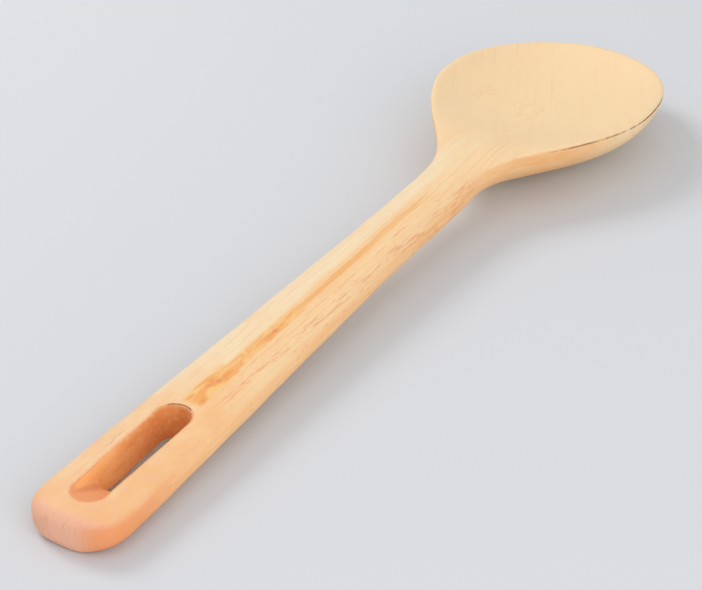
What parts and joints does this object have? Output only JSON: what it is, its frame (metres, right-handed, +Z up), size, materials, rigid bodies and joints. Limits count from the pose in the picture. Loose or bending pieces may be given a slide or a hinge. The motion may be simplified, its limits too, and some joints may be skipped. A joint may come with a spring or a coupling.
{
  "type": "wooden cooking spoon",
  "caption": "One-piece wooden cooking spoon with a shallow oval bowl and a long tapered handle that has a round-ended hanging slot near its end.",
  "frame": {"origin": "on the surface that the spoon lies on, under the middle of its overall length", "axes": "+X along the spoon from the handle end to the bowl tip, +Z up out of the hollow of the bowl"},
  "size_m": [0.3, 0.0724, 0.0193],
  "materials": {
    "wood": "bare, finely sanded pale beech with a faint silk from handling, no paint and no varnish"
  },
  "bodies": {
    "root": {"bowl": "wood", "handle": "wood"}
  },
  "joints": []
}
